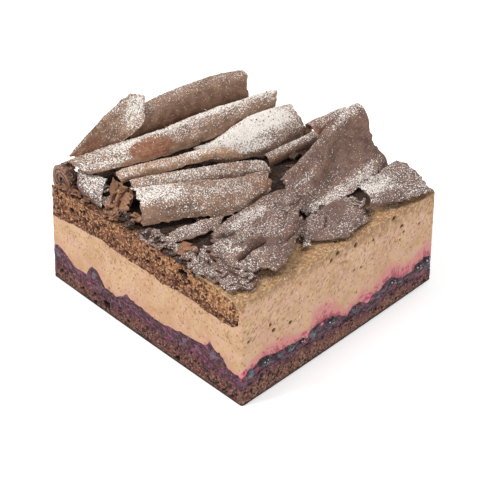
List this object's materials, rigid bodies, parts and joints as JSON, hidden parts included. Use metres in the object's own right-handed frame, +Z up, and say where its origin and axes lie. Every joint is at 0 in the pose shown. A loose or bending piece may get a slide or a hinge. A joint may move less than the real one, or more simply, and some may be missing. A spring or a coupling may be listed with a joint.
{
  "type": "mousse cake slice",
  "caption": "Square slice of layered mousse cake: dark sponge, berry jelly, light mousse and a second sponge, heaped with sugar-dusted chocolate shavings.",
  "frame": {"origin": "middle of the underside", "axes": "+Z up, the cut face looks along -Y and the outer face with the berry stain along +X"},
  "size_m": [0.0822, 0.0823, 0.0539],
  "materials": {
    "dark_sponge": "porous dark crumb",
    "berry_jelly": "wet dark jelly with whole berries in it",
    "mousse": "soft satin with fine pores",
    "dusted_chocolate": "chocolate dusted with icing sugar",
    "bare_chocolate": "bare broken chocolate"
  },
  "bodies": {
    "root": {"base_sponge": "dark_sponge", "berry_layer": "berry_jelly", "mousse": "mousse", "top_sponge": "dark_sponge", "shaving_back": "dusted_chocolate", "shaving_point": "dusted_chocolate", "shaving_second": "dusted_chocolate", "shaving_white": "dusted_chocolate", "shaving_slim": "dusted_chocolate", "shaving_front_upper": "dusted_chocolate", "shaving_front": "dusted_chocolate", "shaving_front_lower": "dusted_chocolate", "shaving_middle": "dusted_chocolate", "shaving_hollow": "dusted_chocolate", "shaving_fold": "dusted_chocolate", "shaving_corner": "dusted_chocolate", "shaving_side": "dusted_chocolate", "shaving_big": "dusted_chocolate", "shaving_ragged": "dusted_chocolate", "shaving_left": "dusted_chocolate", "fragment_brown": "bare_chocolate", "fragment_red": "bare_chocolate", "fragment_edge": "dusted_chocolate", "roll_corner": "dusted_chocolate"}
  },
  "joints": []
}
